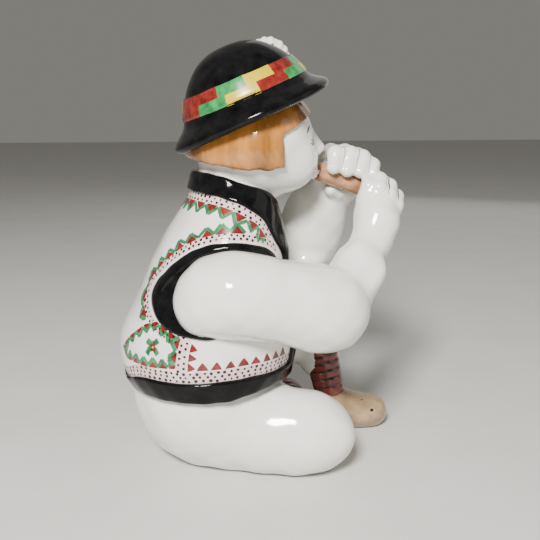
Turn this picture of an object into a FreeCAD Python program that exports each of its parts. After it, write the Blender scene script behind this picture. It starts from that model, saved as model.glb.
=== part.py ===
import FreeCAD, Part
import Sketcher
import math
import os

# Seated porcelain boy playing a pipe. Millimetres. +X is the way the boy faces,
# +Y is his left, +Z is up and the glazed foot of the figure stands on Z = 0.
# Every solid is first made as a plain "form". The finished pieces are the forms
# trimmed by their neighbours, so they meet face to face whatever the sizes are.

os.makedirs("parts", exist_ok=True)
doc = FreeCAD.newDocument("Figurine")

# ---------------------------------------------------------------- dimensions
sheet = doc.addObject("Spreadsheet::Sheet", "Dims")
sheet_rows = []


def define(alias, value):
    """Write one driving dimension into the sheet."""
    sheet_rows.append(alias)
    row = len(sheet_rows)
    sheet.set("A%d" % row, alias)
    sheet.set("B%d" % row, str(value))
    sheet.setAlias("B%d" % row, alias)


MASTER = {
    "figure_height": 150.0,      # foot to crown
    "figure_breadth": 90.0,      # across the elbows
    "wall": 3.2,                 # slip-cast wall
    "relief": 1.2,               # height of the applied trims over the vest
    "drain_radius": 1.8,         # firing vent in the foot
    "foot_thickness": 3.4,       # porcelain under the hips
    "pipe_radius": 3.6,
    "pipe_length": 28.0,
    "pipe_slope": 18.4,          # degrees below level
    "finger_radius": 2.55,
    "grip_left": 1.0,            # air between the pipe and the arch of the fingers
    "grip_right": -0.5,          # negative where the fingers press round the pipe
    "hat_tilt": -23.0,           # degrees, leaning back
    "rim_radius": 28.5,          # outer edge of the hat's rolled brim
    "fringe_depth": 7.0,         # hair showing below the brim over the forehead
    "hem_height": 7.4,
    "collar_height": 6.4,
    "collar_tilt": 20.0,         # degrees, lower at the throat
    "edge_width": 5.4,           # trim down each front edge of the vest
    "opening_half": 12.0,        # half width of the vest's front opening
    "shirt_recess": 0.9,
    "centre_x": 1.015,           # puts the box centre on the Z axis
    "centre_y": -0.79,
}
for alias, value in MASTER.items():
    define(alias, value)
sheet.set("A50", "unit")
sheet.set("B50", "=figure_height / 150")
sheet.setAlias("B50", "unit")
sheet.set("A51", "breadth")
sheet.set("B51", "=figure_breadth / 90 * figure_height / 150")
sheet.setAlias("B51", "breadth")
sheet.set("A52", "slimness")                # breadth against height, 1 at the sizes above
sheet.set("B52", "=breadth / unit")
sheet.setAlias("B52", "slimness")
sheet_rows += ["spare"] * (52 - len(sheet_rows))

# Rounded masses of the figure: centre x, y, z, then radius deep (X), wide (Y)
# and tall (Z), then turn about Z and lean about Y in degrees. A text value is a
# formula: the hollows lie one wall inside the masses around them.
MASSES = {
    "hips": (-24, 1, 23, 26.5, 32.5, 25.6, 0, 0),
    "hip_hollow": (-24, 1, "=foot_thickness + 19", "=hips_deep - wall", "=hips_wide - wall", 19, 0, 0),
    "thigh_right": (-8, -19, 14, 34, 16, 16, -28, 0),
    "knee_right": (11.2, -23.5, 13, 14.6, 13.5, 14, 0, 0),
    "shin_right": (12, -2, 8.5, 10, 23, 9.5, 12, 0),
    "thigh_left": (2, 19, 30, 26, 13, 12.5, 6, -36),
    "knee_left": (18, 19, 41, 10.5, 11, 11, 0, 0),
    "shin_left": (22, 15.5, 33, 8.2, 8.4, 15, 0, 10),
    "wrap_left": (23.5, 11, 21, 7.6, 7.4, 13, 0, 8),
    "shoe_left_heel": (27, 8.5, 8.6, 8.5, 7, 8.8, 0, 0),
    "shoe_left_toe": (38.5, 6.5, 6.4, 11.5, 7.6, 7.2, -4, 4),
    "shoe_right_heel": (10, 30, 7.4, 7.5, 8, 7.6, 0, 0),
    "shoe_right_toe": (2, 38, 6.4, 10, 7, 6.8, -40, 0),
    "plume": (-1, 13.5, 140, 6.8, 4.8, 9.2, 0, 0),
    "armhole_right": (-21, -34, 65.6, 25.4, 30, 17.8, 0, -14),
    "armhole_left": (-21, 34, 65.6, 25.4, 30, 17.8, 0, -14),
}
# Round masses: centre x, y, z and radius.
BALLS = {
    "skull": (-5, 0, 111.4, 21.6),
    "jaw": (3, 0, 106.6, 14.4),
    "cheek_right": (7.6, -8.6, 103.6, 9),
    "cheek_left": (7.6, 8.6, 103.6, 9),
    "nose": (17, 0, 109.4, 2.9),
    "lips": (16.6, 0, 101.6, 3.3),
    "hair_cap": (-5.2, 0, 110.8, 24.3),
    "head_hollow": (-5, 0, 111.4, "=skull_girth - wall"),
    "shoulder_right": (-20.5, -26.5, 64.8, 15.6),
    "elbow_right": (12.8, -30, 62, 14.8),
    "cuff_right": (37, -11.4, 84.4, 7.9),
    "shoulder_left": (-19, 26, 67, 15.2),
    "elbow_left": (14, 25.6, 65.4, 14.4),
    "forearm_left_top": (22.6, 17.6, 86, 11.2),
    "cuff_left": (26.6, 12.4, 92.4, 7.8),
    "ankle_right": (13, 21.4, 8.8, 8.2),
    # hands: measured in the pipe's own frame, X along the pipe from the mouth
    "palm_left_near": (4.4, 7.6, -1.4, 5.4),
    "palm_left_far": (16.4, 7.6, -1.2, 5.3),
    "wrist_left": (9.4, 8.6, -6.4, 6.2),
    "thumb_left_tip": (13.6, 0.6, -5.6, 2.6),
    "palm_right_near": (19.6, -6.8, -3.4, 5.6),
    "palm_right_far": (29, -6.6, -3.4, 5.2),
    "wrist_right": (22.4, -7.4, -8.8, 6.2),
    "thumb_right_tip": (17.4, -0.8, -5.9, 2.5),
}
# Straight tapered limbs between two points: start x, y, z and radius, then end.
LIMBS = {
    "neck": (-13, 0, 82, 12.2, -12, 0, 108, 12.4),
    "neck_hollow": (-13, 0, 80, "=neck_girth - wall", -12, 0, 108, "=neck_end_girth - wall"),
    "upper_arm_right": (-20.5, -27.5, 64.8, 14.6, 12.8, -30, 62, 14.1),
    "forearm_right": (14, -29, 63, 11, 37, -11.4, 84.4, 7.3),
    "upper_arm_left": (-19, 27, 67, 14.4, 14, 25.6, 65.4, 13.8),
    "forearm_left": (15, 25, 66, 12.6, 22.6, 17.6, 86, 10.7),
    "palm_left": (4.4, 7.6, -1.4, 5.2, 16.4, 7.6, -1.2, 5.1),
    "thumb_left": (8, 5.5, -6.2, 2.6, 13.6, 0.6, -5.6, 2.4),
    "palm_right": (19.6, -6.8, -3.4, 5.4, 29, -6.6, -3.4, 5),
    "thumb_right": (22, -5.5, -6.4, 2.6, 17.4, -0.8, -5.9, 2.3),
}
MASS_FIELDS = ("x", "y", "z", "deep", "wide", "tall")
LIMB_FIELDS = ("x", "y", "z", "girth", "end_x", "end_y", "end_z", "end_girth")
for table, fields in ((MASSES, MASS_FIELDS), (BALLS, ("x", "y", "z", "girth")), (LIMBS, LIMB_FIELDS)):
    for name, values in table.items():
        for field, value in zip(fields, values):
            define("%s_%s" % (name, field), value)

# Level slices of the vest: height, centre x, half depth and half width.
SLICES = {
    "hem": (30, -22, 28.8, 32),
    "hip": (36, -22.5, 30.4, 33.4),
    "belly": (44, -23, 31.2, 34),
    "waist": (52, -22, 29.6, 33),
    "ribs": (62, -19.5, 26.6, 31.5),
    "chest": (72, -17.5, 24.3, 30),
    "armpit": (80, -16.2, 21.5, 28),
    "shoulder": (88, -15, 17.5, 23.5),
    "yoke": (94, -14.5, 14.6, 19),
    "throat": (103, -14, 12.4, 15.4),
}
for name, values in SLICES.items():
    for field, value in zip(("level", "centre", "deep", "wide"), values):
        define("slice_%s_%s" % (name, field), value)

# Turned profiles as radius and height above the piece's own base point. The
# brim's points move with rim_radius, and the hat's hollow follows the wall.
BRIM_POINTS = range(1, 6)
PROFILES = {
    "hat": [(0, 0), (26.6, 0), (28, 0.4), (28.5, 1.5), (28.1, 2.9), (26.6, 4.3), (25, 5.6),
            (23.8, 7.4), (22.2, 10.4), (20.4, 13.6), (17.6, 17.2), (14.2, 20.4), (10.4, 22.9),
            (6, 24.4), (0, 24.9)],
    "hat_hollow": [(0, -1), (14, -1), (14, 3.2), (19, 3.4), (20.4, 6.4), (19, 9.8), (17.2, 13), (14.6, 15.8),
                   (11.6, 18.4), (8.4, 20.3), (4.8, 21.3), (0, 21.7)],
    "band": [(19, 7.8), (24.1, 7.8), (24.3, 8.6), (21.4, 13.8), (20.6, 14.4), (19, 14.4)],
}
for name, points in PROFILES.items():
    for index, (radius, height) in enumerate(points):
        out, up = radius, height
        if name == "hat" and index in BRIM_POINTS:
            out = "=rim_radius - %g" % (MASTER["rim_radius"] - radius)
        if name == "hat_hollow" and radius > 14:
            out = "=%g - wall" % (radius + MASTER["wall"])
        if name == "hat_hollow" and height > 14:
            up = "=%g - wall" % (height + MASTER["wall"])
        define("%s_point_%s_out" % (name, chr(97 + index)), out)
        define("%s_point_%s_up" % (name, chr(97 + index)), up)
doc.recompute()


# ------------------------------------------------------------------- helpers
def new_form(label):
    """A body placed on the frame's centre lines."""
    body = doc.addObject("PartDesign::Body", label)
    body.setExpression("Placement.Base.x", "Dims.centre_x * Dims.unit")
    body.setExpression("Placement.Base.y", "Dims.centre_y * Dims.breadth")
    return body


def mass(body, name, hollow=False):
    """Add (or take away) one rounded mass, its place and radii driven by the sheet."""
    kind = "PartDesign::%s" % ("Subtractive" if hollow else "Additive")
    if name in BALLS:
        feature = body.newObject(kind + "Sphere", name)
        sizes = {"Radius": "Dims.%s_girth * Dims.unit" % name}
    elif name in LIMBS:
        feature = body.newObject(kind + "Cone", name)
        start, end = (FreeCAD.Vector(*LIMBS[name][at:at + 3]) for at in (0, 4))
        feature.Placement = FreeCAD.Placement(FreeCAD.Vector(), FreeCAD.Rotation(FreeCAD.Vector(0, 0, 1), end - start))
        across = ["(Dims.{0}_end_{1} - Dims.{0}_{1})".format(name, axis) for axis in "xyz"]
        sizes = {"Radius1": "Dims.%s_girth * Dims.unit" % name, "Radius2": "Dims.%s_end_girth * Dims.unit" % name,
                 "Height": "Dims.unit * sqrt(%s)" % " + ".join("%s ^ 2" % span for span in across)}
    else:
        feature = body.newObject(kind + "Ellipsoid", name)
        turn, lean = MASSES[name][6:]
        feature.Placement = FreeCAD.Placement(FreeCAD.Vector(), FreeCAD.Rotation(turn, lean, 0))
        sizes = {"Radius2": "Dims.%s_deep * Dims.unit" % name, "Radius3": "Dims.%s_wide * Dims.breadth" % name,
                 "Radius1": "Dims.%s_tall * Dims.unit" % name}
    for prop, text in sizes.items():
        feature.setExpression(prop, text)
    for axis, scale in (("x", "unit"), ("y", "breadth"), ("z", "unit")):
        feature.setExpression("Placement.Base.%s" % axis, "Dims.%s_%s * Dims.%s" % (name, axis, scale))
    return feature


def rounded(label, masses, hollows=()):
    body = new_form(label)
    for name in masses:
        mass(body, name)
    for name in hollows:
        mass(body, name, hollow=True)
    return body


def box(label, size, base):
    """Box from expressions for its size and its corner, in the frame's centred axes."""
    block = doc.addObject("Part::Box", label)
    for prop, text in zip(("Length", "Width", "Height"), size):
        block.setExpression(prop, text)
    for axis, text in zip("xyz", base):
        shift = {"x": " + Dims.centre_x * Dims.unit", "y": " + Dims.centre_y * Dims.breadth", "z": ""}[axis]
        block.setExpression("Placement.Base.%s" % axis, text + shift)
    return block


def cut(label, base, *tools):
    """The base with every tool taken away, one after another."""
    for number, tool in enumerate(tools):
        step = doc.addObject("Part::Cut", "%s_less_%d" % (label, number))
        step.Base, step.Tool = base, tool
        base = step
    base.Label = label
    return base


def common(label, first, second):
    piece = doc.addObject("Part::Common", label)
    piece.Base, piece.Tool = first, second
    return piece


def fuse(label, shapes):
    piece = doc.addObject("Part::MultiFuse", label)
    piece.Shapes = shapes
    return piece


def turned(label, profile, place, lean):
    """Revolve a closed profile about its own upright axis, then lean it about Y."""
    body = doc.addObject("PartDesign::Body", label)
    body.Placement = FreeCAD.Placement(FreeCAD.Vector(), FreeCAD.Rotation(FreeCAD.Vector(0, 1, 0), 1))
    for axis, text in zip("xyz", place):
        body.setExpression("Placement.Base.%s" % axis, text)
    body.setExpression("Placement.Rotation.Angle", lean)
    sketch = body.newObject("Sketcher::SketchObject", label + "_profile")
    sketch.AttachmentSupport = (body.Origin.OriginFeatures[4], [""])
    sketch.MapMode = "FlatFace"
    points = PROFILES[profile]
    for index, (radius, height) in enumerate(points):
        following = points[(index + 1) % len(points)]
        sketch.addGeometry(Part.LineSegment(FreeCAD.Vector(radius, height, 0),
                                            FreeCAD.Vector(following[0], following[1], 0)), False)
    for index, (radius, height) in enumerate(points):
        sketch.addConstraint(Sketcher.Constraint("Coincident", index - 1 if index else len(points) - 1, 2,
                                                 index, 1))
        letter = chr(97 + index)
        for kind, field, value in (("DistanceX", "out", radius), ("DistanceY", "up", height)):
            if value == 0:
                axis = -2 if kind == "DistanceX" else -1
                sketch.addConstraint(Sketcher.Constraint("PointOnObject", index, 1, axis))
                continue
            number = sketch.addConstraint(Sketcher.Constraint(kind, -1, 1, index, 1, value))
            sketch.setExpression("Constraints[%d]" % number,
                                 "Dims.%s_point_%s_%s * Dims.unit" % (profile, letter, field))
    spin = body.newObject("PartDesign::Revolution", label + "_turned")
    spin.Profile = sketch
    spin.ReferenceAxis = (sketch, ["V_Axis"])
    spin.Angle = 360
    return body


def torso_loft(label, grow, reach=0, seam=90):
    """Loft through the level slices, each grown by one expression, its seam at that turn from +X.

    An ellipse can't be narrower than it is deep, so the loft is made at even proportions and then scaled across.
    """
    rings = []
    names = list(SLICES)
    for name in names:
        ring = doc.addObject("Part::Ellipse", "%s_%s" % (label, name))
        ring.Placement = FreeCAD.Placement(FreeCAD.Vector(), FreeCAD.Rotation(seam, 0, 0))
        stretch = {names[0]: -reach, names[-1]: reach}.get(name, 0)
        ring.setExpression("MajorRadius", "(Dims.slice_%s_wide * Dims.breadth %s) / Dims.slimness" % (name, grow))
        ring.setExpression("MinorRadius", "Dims.slice_%s_deep * Dims.unit %s" % (name, grow))
        ring.setExpression("Placement.Base.x", "(Dims.slice_%s_centre + Dims.centre_x) * Dims.unit" % name)
        ring.setExpression("Placement.Base.y", "Dims.centre_y * Dims.unit")
        ring.setExpression("Placement.Base.z", "(Dims.slice_%s_level + %g) * Dims.unit" % (name, stretch))
        rings.append(ring)
    loft = doc.addObject("Part::Loft", label + "_even")
    loft.Sections, loft.Solid, loft.Ruled = rings, True, False
    narrowed = doc.addObject("Part::Scale", label)
    narrowed.Base, narrowed.Uniform, narrowed.XScale, narrowed.ZScale = loft, False, 1.0, 1.0
    narrowed.setExpression("YScale", "Dims.slimness")
    return narrowed


def slab(label, top_drop, thickness, lean, height):
    """A wide plate leaning about Y through the throat, its top lowered by top_drop."""
    plate = doc.addObject("Part::Box", label)
    plate.setExpression("Length", "120 * Dims.unit")
    plate.setExpression("Width", "140 * Dims.breadth")
    plate.setExpression("Height", thickness)
    plate.Placement = FreeCAD.Placement(FreeCAD.Vector(), FreeCAD.Rotation(FreeCAD.Vector(0, 1, 0), 1))
    reach = "60 * Dims.unit"
    plate.setExpression("Placement.Rotation.Angle", lean)
    fall = "(%s + %s)" % (top_drop, thickness)
    plate.setExpression("Placement.Base.x", "(-14 + Dims.centre_x) * Dims.unit - cos(%s) * %s - sin(%s) * %s"
                        % (lean, reach, lean, fall))
    plate.setExpression("Placement.Base.y", "(Dims.centre_y - 70) * Dims.breadth")
    plate.setExpression("Placement.Base.z", "%s + sin(%s) * %s - cos(%s) * %s"
                        % (height, lean, reach, lean, fall))
    return plate


def rim_block(label, lift, height):
    """A block square to the hat's axis, its lower face lifted from the rim's plane."""
    block = doc.addObject("Part::Box", label)
    block.Placement = FreeCAD.Placement(FreeCAD.Vector(), FreeCAD.Rotation(FreeCAD.Vector(0, 1, 0), 1))
    block.setExpression("Length", "100 * Dims.unit")
    block.setExpression("Width", "100 * Dims.breadth")
    block.setExpression("Height", height)
    block.setExpression("Placement.Rotation.Angle", "Dims.hat_tilt")
    block.setExpression("Placement.Base.x", "%s - 50 * Dims.unit * cos(Dims.hat_tilt) + (%s) * sin(Dims.hat_tilt)"
                        % (HAT_PLACE[0], lift))
    block.setExpression("Placement.Base.y", "(Dims.centre_y - 50) * Dims.breadth")
    block.setExpression("Placement.Base.z", "%s + 50 * Dims.unit * sin(Dims.hat_tilt) + (%s) * cos(Dims.hat_tilt)"
                        % (HAT_PLACE[2], lift))
    return block


HAT_PLACE = ("(-6 + Dims.centre_x) * Dims.unit", "Dims.centre_y * Dims.breadth", "121 * Dims.unit")

# --------------------------------------------------------------------- forms
floor = box("floor_block", ("200 * Dims.unit", "200 * Dims.breadth", "50 * Dims.unit"),
            ("-100 * Dims.unit", "-100 * Dims.breadth", "-50 * Dims.unit"))

seat_form = cut("seat_form", rounded("seat_body", ("hips", "thigh_right", "knee_right", "shin_right")), floor)
torso_full = torso_loft("torso_full", "")
torso_proud = torso_loft("torso_proud", "+ Dims.relief")
torso_hollow = torso_loft("torso_hollow", "- Dims.wall", reach=3)
torso_recess = torso_loft("torso_recess", "- Dims.shirt_recess")

THROAT = "98.6 * Dims.unit"
above_collar = slab("above_collar", "-40 * Dims.unit", "40 * Dims.unit", "Dims.collar_tilt", THROAT)
collar_slab = slab("collar_slab", "0 * Dims.unit", "Dims.collar_height * Dims.unit", "Dims.collar_tilt", THROAT)
vest_form = cut("vest_form", torso_full, above_collar)
proud_form = cut("proud_form", torso_proud, above_collar)
hat_form = turned("hat_form", "hat", HAT_PLACE, "Dims.hat_tilt")
hat_hollow = turned("hat_hollow_form", "hat_hollow", HAT_PLACE, "Dims.hat_tilt")
band_form = turned("band_form", "band", HAT_PLACE, "Dims.hat_tilt")

# everything above the plane of the hat's rim belongs to the hat
above_rim = rim_block("above_rim", "0 * Dims.unit", "50 * Dims.unit")

head_form = rounded("head_form", ("skull", "jaw", "neck", "cheek_right", "cheek_left", "nose", "lips"))
sleeve_forms = {
    "right": rounded("sleeve_right_form", ("shoulder_right", "upper_arm_right", "elbow_right", "forearm_right",
                                           "cuff_right")),
    "left": rounded("sleeve_left_form", ("shoulder_left", "upper_arm_left", "elbow_left", "forearm_left",
                                         "forearm_left_top", "cuff_left")),
}
leg_left_form = rounded("leg_left_form", ("thigh_left", "knee_left", "shin_left"))

# --------------------------------------------------------------------- pieces
seat_solid = cut("seat_solid", seat_form, vest_form)
hip_hollow = rounded("hip_hollow_form", ("hip_hollow",))
drain = doc.addObject("Part::Cylinder", "drain")
drain.setExpression("Radius", "Dims.drain_radius * Dims.unit")
drain.setExpression("Height", "12 * Dims.unit")
drain.setExpression("Placement.Base.x", "(-24 + Dims.centre_x) * Dims.unit")
drain.setExpression("Placement.Base.y", "Dims.centre_y * Dims.breadth")
drain.setExpression("Placement.Base.z", "-2 * Dims.unit")
seat_shell = cut("seat_shell", seat_solid, hip_hollow, drain)

slot = box("front_slot", ("60 * Dims.unit", "2 * Dims.opening_half * Dims.breadth", "120 * Dims.unit"),
           ("-14 * Dims.unit", "-Dims.opening_half * Dims.breadth", "0 * Dims.unit"))
vest = cut("vest", vest_form, torso_hollow, slot)
shirt_front = cut("shirt_front", common("shirt_strip", torso_recess, slot), torso_hollow, above_collar)

hem_block = box("hem_block", ("160 * Dims.unit", "160 * Dims.breadth", "Dims.hem_height * Dims.unit"),
                ("-100 * Dims.unit", "-80 * Dims.breadth", "Dims.slice_hem_level * Dims.unit"))
edges = [box("edge_%s" % side,
             ("60 * Dims.unit", "Dims.edge_width * Dims.breadth", "80 * Dims.unit"),
             ("-12 * Dims.unit", start, "(Dims.slice_hem_level + Dims.hem_height) * Dims.unit"))
         for side, start in (("right", "(-Dims.opening_half - Dims.edge_width) * Dims.breadth"),
                             ("left", "Dims.opening_half * Dims.breadth"))]
neck_region = fuse("neck_region", [collar_slab] + edges)
front_gap = box("front_gap", ("60 * Dims.unit", "2 * Dims.opening_half * Dims.breadth", "120 * Dims.unit"),
                ("-6 * Dims.unit", "-Dims.opening_half * Dims.breadth", "0 * Dims.unit"))
relief_skin = cut("relief_skin", proud_form, vest_form)
neck_trim = cut("neck_trim", common("neck_ring", relief_skin, neck_region), front_gap,
                sleeve_forms["left"], sleeve_forms["right"])
hem_trim = cut("hem_trim", common("hem_ring", relief_skin, hem_block), front_gap)

# each armhole's patch is taken from a skin whose seam runs down the other side
skins = {"right": relief_skin,
         "left": cut("relief_skin_left", torso_loft("torso_proud_left", "+ Dims.relief", seam=-90),
                     torso_loft("torso_full_left", "", seam=-90))}
armhole_trims = {}
for side, sleeve in sleeve_forms.items():
    patch = common("armhole_patch_" + side, skins[side], rounded("armhole_region_" + side, ("armhole_" + side,)))
    armhole_trims[side] = cut("armhole_trim_" + side, patch, sleeve)

head = cut("head", head_form, above_rim, proud_form,
           rounded("head_hollow_form", ("head_hollow", "neck_hollow")))
below_hair = box("below_hair", ("100 * Dims.unit", "100 * Dims.breadth", "60 * Dims.unit"),
                 ("-60 * Dims.unit", "-50 * Dims.breadth", "44 * Dims.unit"))
below_fringe = rim_block("below_fringe", "-Dims.fringe_depth * Dims.unit - 60 * Dims.unit", "60 * Dims.unit")
face_side = box("face_side", ("60 * Dims.unit", "100 * Dims.breadth", "80 * Dims.unit"),
                ("-1 * Dims.unit", "-50 * Dims.breadth", "70 * Dims.unit"))
face_window = common("face_window", below_fringe, face_side)
hair = cut("hair", rounded("hair_form", ("hair_cap",)), above_rim, head_form, proud_form, below_hair,
           face_window)
hat_band = cut("hat_band", band_form, hat_form)
hat = cut("hat", hat_form, hat_hollow)
hat_plume = cut("hat_plume", rounded("plume_form", ("plume",)), hat_form, band_form)

# the pipe and the two hands share one leaning frame that starts at the mouth
MOUTH = ("(18.6 + Dims.centre_x) * Dims.unit", "Dims.centre_y * Dims.breadth", "101.6 * Dims.unit")


def along_pipe(obj):
    obj.Placement = FreeCAD.Placement(FreeCAD.Vector(), FreeCAD.Rotation(FreeCAD.Vector(0, 1, 0), 1))
    for axis, text in zip("xyz", MOUTH):
        obj.setExpression("Placement.Base.%s" % axis, text)
    obj.setExpression("Placement.Rotation.Angle", "Dims.pipe_slope")


pipe_body = doc.addObject("PartDesign::Body", "pipe_form")
along_pipe(pipe_body)
tube = pipe_body.newObject("PartDesign::AdditiveCone", "pipe_tube")
tube.Placement = FreeCAD.Placement(FreeCAD.Vector(), FreeCAD.Rotation(FreeCAD.Vector(0, 1, 0), 90))
tube.setExpression("Radius1", "(Dims.pipe_radius - 0.3) * Dims.unit")
tube.setExpression("Radius2", "Dims.pipe_radius * Dims.unit")
tube.setExpression("Height", "Dims.pipe_length * Dims.unit")
tube.setExpression("Placement.Base.x", "-1.5 * Dims.unit")
pipe = cut("pipe", pipe_body, head_form)


def hand(side, masses, stations, start, sweep):
    """Palm, wrist and thumb masses with four fingers curled about the pipe."""
    ring = "(Dims.pipe_radius + Dims.finger_radius + Dims.grip_%s) * Dims.unit" % side
    body = doc.addObject("PartDesign::Body", "hand_%s_form" % side)
    along_pipe(body)
    for name in masses:
        mass(body, name)
    for number, station in enumerate(stations):
        finger = body.newObject("PartDesign::AdditiveTorus", "finger_%s_%d" % (side, number))
        finger.Placement.Rotation = FreeCAD.Rotation(FreeCAD.Vector(1, 1, 1), 120).multiply(
            FreeCAD.Rotation(FreeCAD.Vector(0, 0, 1), start))
        finger.setExpression("Placement.Base.x", "%g * Dims.unit" % station)
        finger.setExpression("Radius1", ring)
        finger.setExpression("Radius2", "Dims.finger_radius * Dims.unit")
        finger.Angle3 = sweep
        reach = math.radians(start + sweep)
        tip = body.newObject("PartDesign::AdditiveSphere", "tip_%s_%d" % (side, number))
        tip.setExpression("Radius", "Dims.finger_radius * 1.12 * Dims.unit")
        tip.setExpression("Placement.Base.x", "%g * Dims.unit" % station)
        tip.setExpression("Placement.Base.y", "%s * %.5f" % (ring, math.cos(reach)))
        tip.setExpression("Placement.Base.z", "%s * %.5f" % (ring, math.sin(reach)))
    return body


hand_left_form = hand("left", ("palm_left", "palm_left_near", "palm_left_far", "wrist_left", "thumb_left",
                                "thumb_left_tip"), (3.6, 8.0, 12.4, 16.8), 0, 160)
hand_right_form = hand("right", ("palm_right", "palm_right_near", "palm_right_far", "wrist_right", "thumb_right",
                                  "thumb_right_tip"),
                       (19.6, 23.6, 27.6, 31.2), 40, 150)
left_hand = cut("left_hand", hand_left_form, pipe_body, head_form, sleeve_forms["left"])
right_hand = cut("right_hand", hand_right_form, pipe_body, sleeve_forms["right"], hand_left_form)

right_sleeve = cut("right_sleeve", sleeve_forms["right"], vest_form)
left_sleeve = cut("left_sleeve", sleeve_forms["left"], vest_form, leg_left_form)

shoe_left_form = cut("shoe_left_form", rounded("shoe_left_body", ("shoe_left_heel", "shoe_left_toe")), floor)
shoe_right_form = cut("shoe_right_form", rounded("shoe_right_body", ("shoe_right_heel", "shoe_right_toe")), floor)
left_trouser_leg = cut("left_trouser_leg", leg_left_form, seat_form, proud_form)
left_shoe = cut("left_shoe", shoe_left_form, seat_form)
left_leg_wrap = cut("left_leg_wrap", rounded("wrap_left_form", ("wrap_left",)), leg_left_form, shoe_left_form,
                    seat_form)
right_leg_wrap = cut("right_leg_wrap", rounded("wrap_right_form", ("ankle_right",)), seat_form, leg_left_form, floor)
right_shoe = cut("right_shoe", shoe_right_form, right_leg_wrap, seat_form, leg_left_form)

PIECES = {
    "seat_shell": seat_shell, "left_trouser_leg": left_trouser_leg, "vest": vest, "shirt_front": shirt_front,
    "neck_trim": neck_trim, "hem_trim": hem_trim, "armhole_trim_right": armhole_trims["right"],
    "armhole_trim_left": armhole_trims["left"], "head": head, "hair": hair, "hat": hat, "hat_band": hat_band,
    "hat_plume": hat_plume, "right_sleeve": right_sleeve, "left_sleeve": left_sleeve, "right_hand": right_hand,
    "left_hand": left_hand, "pipe": pipe, "right_leg_wrap": right_leg_wrap, "left_leg_wrap": left_leg_wrap,
    "right_shoe": right_shoe, "left_shoe": left_shoe,
}
for label, piece in PIECES.items():
    piece.Label = label
doc.recompute()

faults = [obj.Label for obj in doc.Objects if "Invalid" in obj.State or "Error" in obj.State]
if faults:
    raise RuntimeError("features that did not build: %s" % ", ".join(faults))
for label, piece in PIECES.items():
    shape = piece.Shape
    if shape.isNull() or not shape.isValid():
        raise RuntimeError("%s has no valid shape" % label)
    shape.exportStep("parts/%s.step" % label)
    print("%-20s solids %d  volume %8.0f mm3" % (label, len(shape.Solids), shape.Volume))
corners = [point for piece in PIECES.values() for point in piece.Shape.tessellate(0.3)[0]]
for axis in "xyz":
    values = [getattr(point, axis) for point in corners]
    print("%s from %.2f to %.2f mm" % (axis, min(values), max(values)))
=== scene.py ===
import math
import random

import bmesh
import bpy
import numpy as np
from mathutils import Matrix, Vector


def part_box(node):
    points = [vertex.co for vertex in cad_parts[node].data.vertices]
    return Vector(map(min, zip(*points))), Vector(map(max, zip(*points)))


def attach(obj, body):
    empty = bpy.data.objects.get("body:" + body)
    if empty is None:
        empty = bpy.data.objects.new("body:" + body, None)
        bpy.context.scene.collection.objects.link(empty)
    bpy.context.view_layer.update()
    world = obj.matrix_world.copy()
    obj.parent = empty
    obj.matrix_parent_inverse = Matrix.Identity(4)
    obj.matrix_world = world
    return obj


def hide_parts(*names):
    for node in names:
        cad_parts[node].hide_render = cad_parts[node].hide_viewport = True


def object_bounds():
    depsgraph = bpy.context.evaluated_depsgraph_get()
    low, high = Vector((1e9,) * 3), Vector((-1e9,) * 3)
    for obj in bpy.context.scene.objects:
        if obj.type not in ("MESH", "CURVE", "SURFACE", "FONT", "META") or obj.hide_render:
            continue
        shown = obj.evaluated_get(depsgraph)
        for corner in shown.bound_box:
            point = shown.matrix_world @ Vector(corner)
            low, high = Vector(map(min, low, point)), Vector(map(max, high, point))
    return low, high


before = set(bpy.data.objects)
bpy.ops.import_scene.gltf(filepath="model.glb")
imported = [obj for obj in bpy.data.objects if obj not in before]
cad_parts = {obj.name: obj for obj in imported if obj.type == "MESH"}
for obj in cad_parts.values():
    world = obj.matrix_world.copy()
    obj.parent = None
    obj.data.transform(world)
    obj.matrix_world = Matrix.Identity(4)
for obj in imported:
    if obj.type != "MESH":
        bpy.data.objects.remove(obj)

import openvdb
from mathutils import Vector
from mathutils.bvhtree import BVHTree

# The figure is modelled in millimetres in its own layout: +X is the way the boy
# faces, +Y his left, Z = 0 the table. Layout points are scaled and moved onto
# the CAD frame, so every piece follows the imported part.
CAD_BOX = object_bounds()
LAYOUT_HEIGHT = 149.2
VEST_LOW, VEST_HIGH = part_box("vest")
UNIT = (CAD_BOX[1][2] - CAD_BOX[0][2]) / LAYOUT_HEIGHT
SHIFT = Vector((VEST_LOW.x + 54.2 * UNIT, (VEST_LOW.y + VEST_HIGH.y) / 2, CAD_BOX[0][2]))
rng = random.Random(7)


def place(point):
    """A layout point in the row frame, in metres."""
    return Vector(point) * UNIT + SHIFT


# ------------------------------------------------------------ solid shapes
def turned(P, centre, turn=0.0, lean=0.0):
    """Coordinates about a centre, turned about Z and then leaned about Y, in degrees."""
    x, y, z = P[0] - centre[0], P[1] - centre[1], P[2] - centre[2]
    if turn:
        c, s = math.cos(math.radians(turn)), math.sin(math.radians(turn))
        x, y = x * c + y * s, y * c - x * s
    if lean:
        c, s = math.cos(math.radians(lean)), math.sin(math.radians(lean))
        x, z = x * c - z * s, z * c + x * s
    return x, y, z


def ellipsoid(P, centre, radii, turn=0.0, lean=0.0):
    """Distance to an ellipsoid, near enough for meshing."""
    x, y, z = turned(P, centre, turn, lean)
    a, b, c = radii
    near = np.sqrt((x / a) ** 2 + (y / b) ** 2 + (z / c) ** 2)
    steep = np.sqrt((x / a ** 2) ** 2 + (y / b ** 2) ** 2 + (z / c ** 2) ** 2)
    return near * (near - 1) / (steep + 1e-6)


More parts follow.
